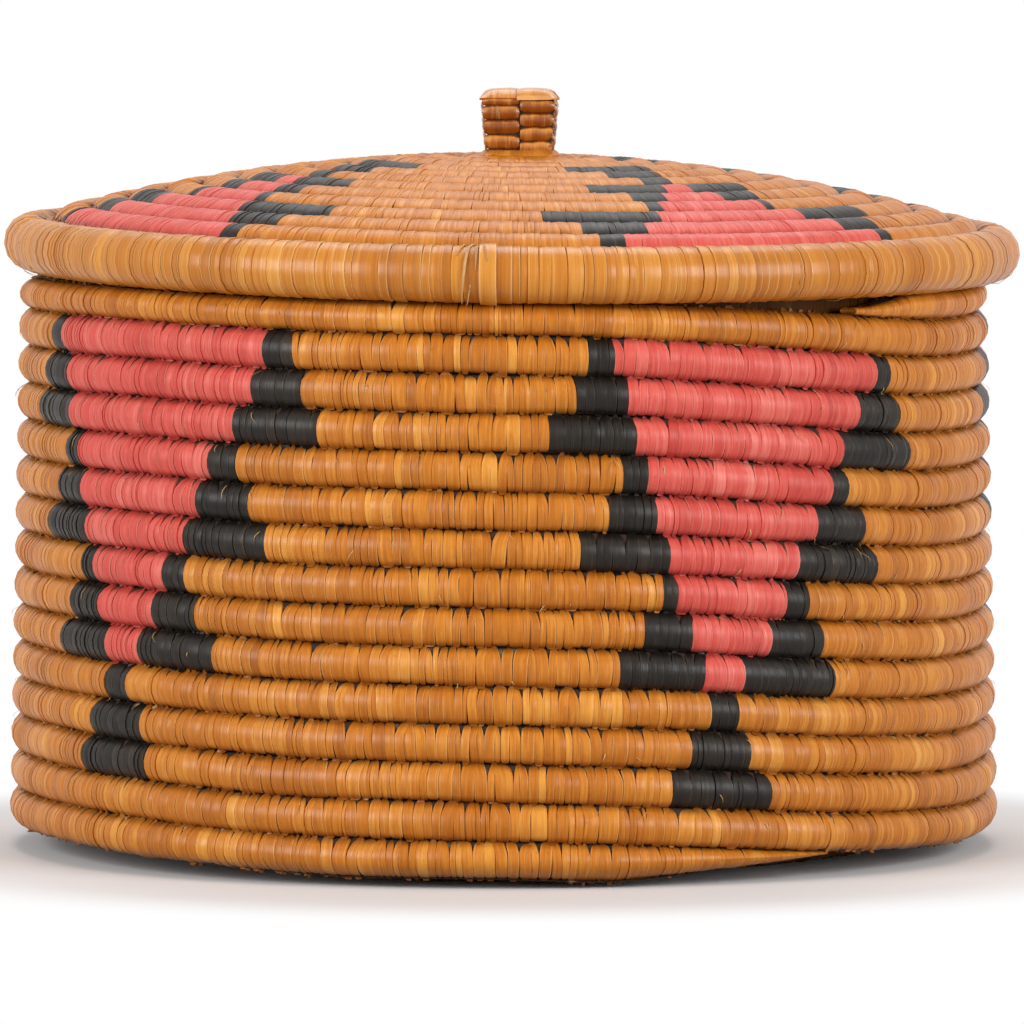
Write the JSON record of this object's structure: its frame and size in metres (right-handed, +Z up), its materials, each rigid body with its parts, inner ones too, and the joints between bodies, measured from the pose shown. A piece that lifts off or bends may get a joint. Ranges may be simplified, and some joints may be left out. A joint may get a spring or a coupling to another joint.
{
  "type": "lidded coiled basket",
  "caption": "Round coiled canister basket with stepped coral and black motifs, a domed lift-off lid with a thick rim and a square plaited knob.",
  "frame": {"origin": "on the floor, under the middle of the lid", "axes": "+Z up, the front of the picture towards -Y, +X to the right as seen from the front"},
  "size_m": [0.2918, 0.2918, 0.2178],
  "materials": {
    "natural_strips": "matte wrapped leaf",
    "rim_strips": "satin wrapped leaf",
    "coral_strips": "matte dyed leaf",
    "black_strips": "satin dyed leaf",
    "knob_leaf": "glossy plaited leaf"
  },
  "bodies": {
    "basket": {"wall_coil": "natural_strips", "base_coil": "natural_strips", "wall_motif_1_border_left": "black_strips", "wall_motif_1_border_right": "black_strips", "wall_motif_1_foot": "black_strips", "wall_motif_1_field": "coral_strips", "wall_motif_2_border_left": "black_strips", "wall_motif_2_border_right": "black_strips", "wall_motif_2_foot": "black_strips", "wall_motif_2_field": "coral_strips", "wall_motif_3_border_left": "black_strips", "wall_motif_3_border_right": "black_strips", "wall_motif_3_foot": "black_strips", "wall_motif_3_field": "coral_strips", "wall_motif_4_border_left": "black_strips", "wall_motif_4_border_right": "black_strips", "wall_motif_4_foot": "black_strips", "wall_motif_4_field": "coral_strips", "wall_motif_5_border_left": "black_strips", "wall_motif_5_border_right": "black_strips", "wall_motif_5_foot": "black_strips", "wall_motif_5_field": "coral_strips"},
    "lid": {"lid_rim": "rim_strips", "lid_locating_ring": "natural_strips", "lid_coil": "natural_strips", "lid_motif_1_border_left": "black_strips", "lid_motif_1_border_right": "black_strips", "lid_motif_1_foot": "black_strips", "lid_motif_1_field": "coral_strips", "lid_motif_2_border_left": "black_strips", "lid_motif_2_border_right": "black_strips", "lid_motif_2_foot": "black_strips", "lid_motif_2_field": "coral_strips", "lid_motif_3_border_left": "black_strips", "lid_motif_3_border_right": "black_strips", "lid_motif_3_foot": "black_strips", "lid_motif_3_field": "coral_strips", "lid_motif_4_border_left": "black_strips", "lid_motif_4_border_right": "black_strips", "lid_motif_4_foot": "black_strips", "lid_motif_4_field": "coral_strips", "knob_strand_left": "knob_leaf", "knob_strand_right": "knob_leaf", "knob_strand_back": "knob_leaf", "knob_strand_front": "knob_leaf", "knob_collar": "natural_strips"}
  },
  "joints": [
    {"name": "lid_lift", "type": "slide", "parent": "basket", "child": "lid", "axis": [0, 0, 1], "range_m": [0, 0.12]}
  ]
}
